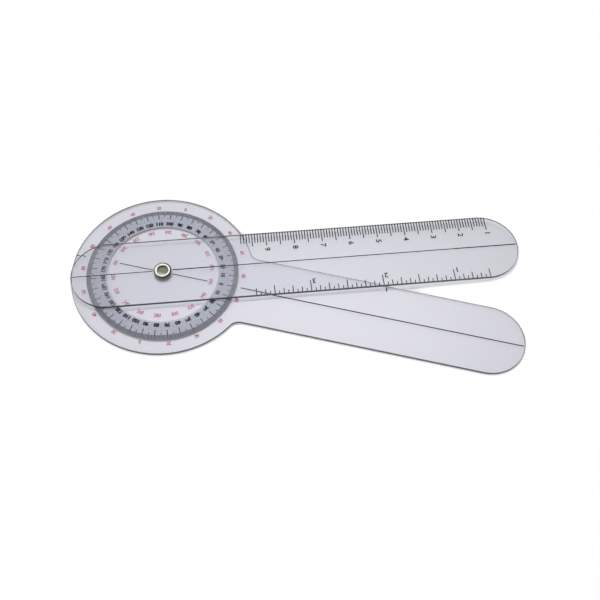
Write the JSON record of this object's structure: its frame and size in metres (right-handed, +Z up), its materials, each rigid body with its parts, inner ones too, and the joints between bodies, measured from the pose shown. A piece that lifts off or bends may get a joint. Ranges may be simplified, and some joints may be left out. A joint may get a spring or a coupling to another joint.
{
  "type": "angle finder with arms",
  "caption": "Clear plastic full-circle protractor with a ruler arm that turns on a rivet through the middle of its dial, for measuring joint angles.",
  "frame": {"origin": "on the pivot axis, on the flat underside of the rivet's head, which is the part's lowest face", "axes": "+X along the dial arm from the pivot to its free end, +Z up along the pivot axis through the dial and then the ruler arm"},
  "size_m": [0.1586, 0.0807, 0.0036],
  "materials": {
    "clear_dial_plastic": "clear, polished, with engraved marks",
    "clear_ruler_plastic": "clear, polished, with engraved marks",
    "nickel_plate": "bright nickel plate, lightly worn",
    "black_ink": "stamped black ink",
    "red_ink": "stamped red ink",
    "ring_tint": "see-through grey-blue print"
  },
  "bodies": {
    "dial_side": {"dial_arm": "clear_dial_plastic", "pivot_rivet": "nickel_plate"},
    "ruler_side": {"ruler_arm": "clear_ruler_plastic"}
  },
  "joints": [
    {"name": "arm_pivot", "type": "hinge", "parent": "dial_side", "child": "ruler_side", "pos_m": [0, 0, 0.0023], "axis": [0, 0, 1], "continuous": true}
  ]
}
